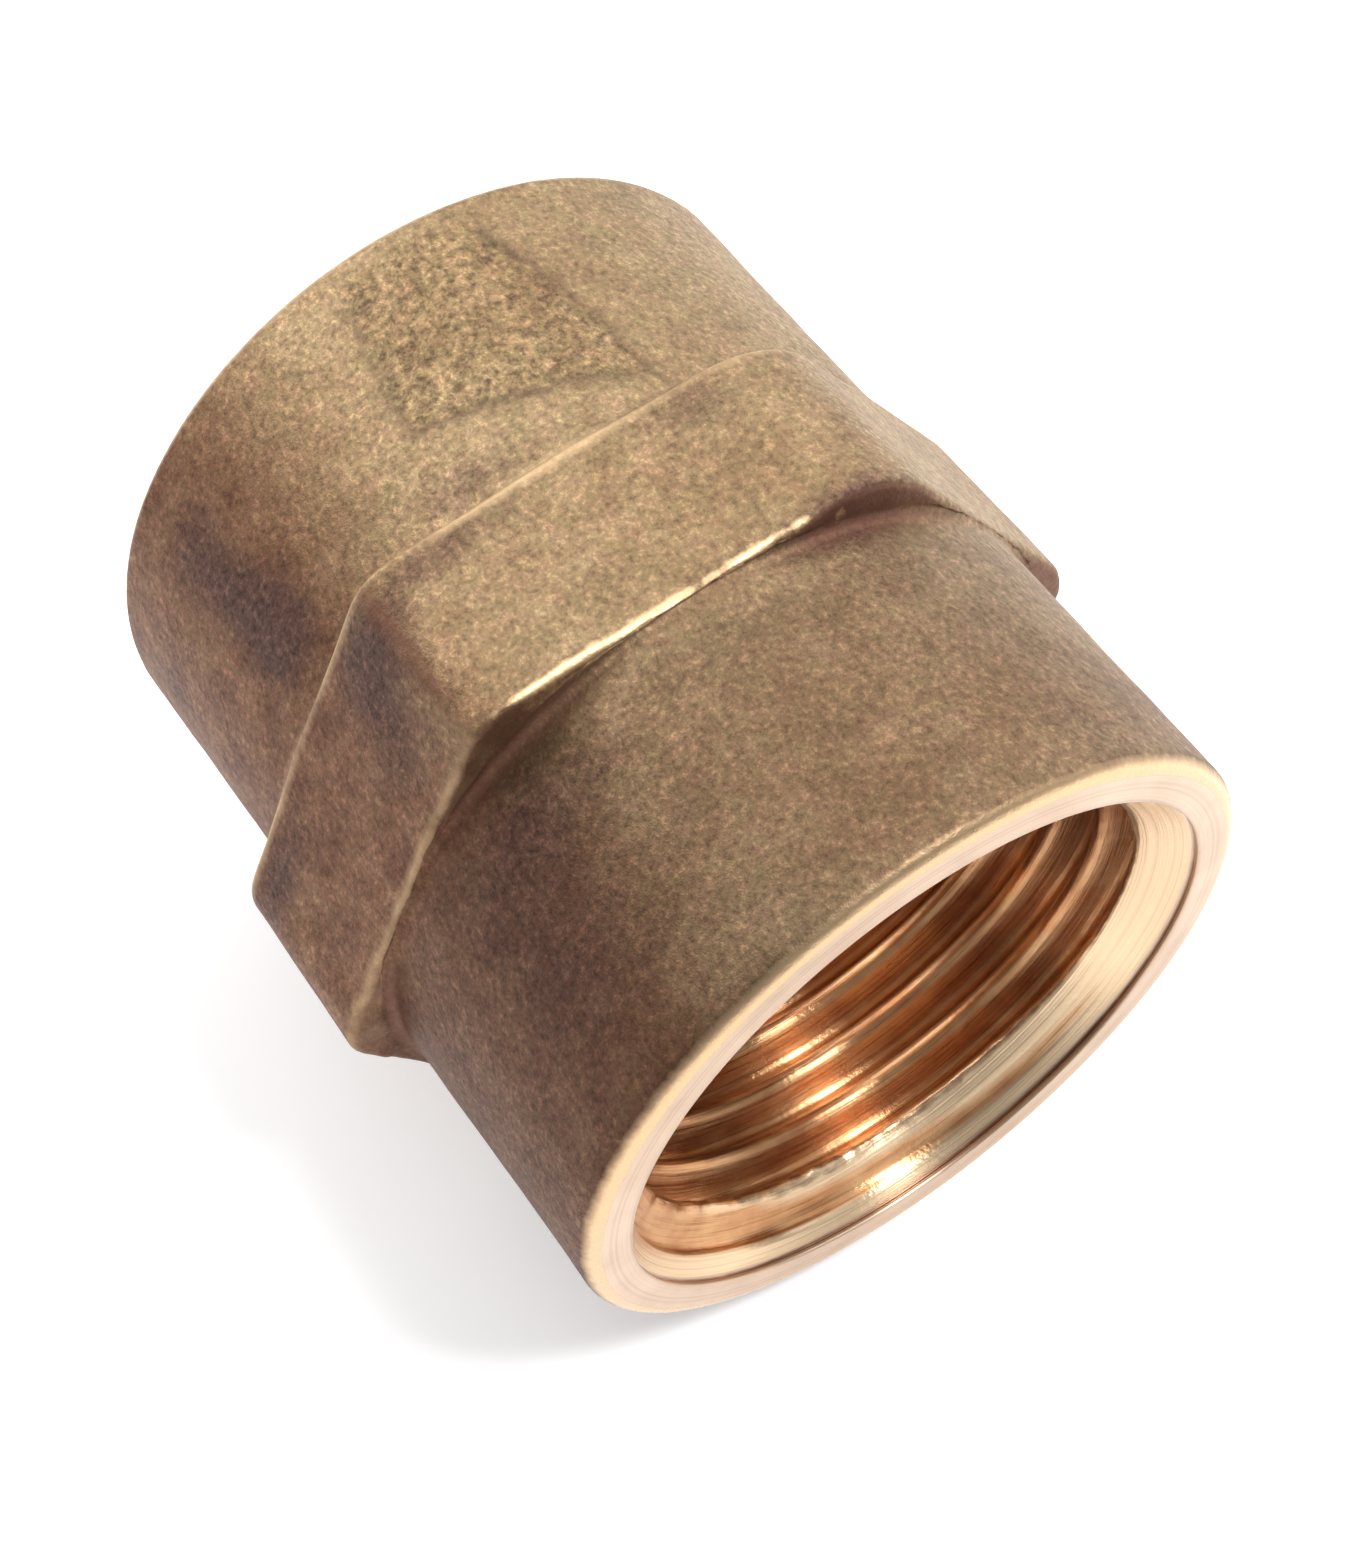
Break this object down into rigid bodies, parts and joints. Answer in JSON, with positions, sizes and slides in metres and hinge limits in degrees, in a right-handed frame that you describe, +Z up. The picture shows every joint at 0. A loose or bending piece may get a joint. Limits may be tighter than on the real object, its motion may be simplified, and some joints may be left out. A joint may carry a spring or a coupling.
{
  "type": "pipe socket fitting",
  "caption": "Short brass pipe socket with a hexagon band round its middle and a parallel pipe thread inside each end.",
  "frame": {"origin": "on the bore axis, at half the length between the two mouths", "axes": "+X along the bore and out of the front mouth, +Z up with the part lying on one hexagon flat, +Y across the hexagon's corners"},
  "size_m": [0.0284, 0.0286, 0.0254],
  "materials": {
    "forged_brass": "sand-blasted forging, dull, with bright turned mouths and threads"
  },
  "bodies": {
    "root": {"socket_body": "forged_brass"}
  },
  "joints": []
}
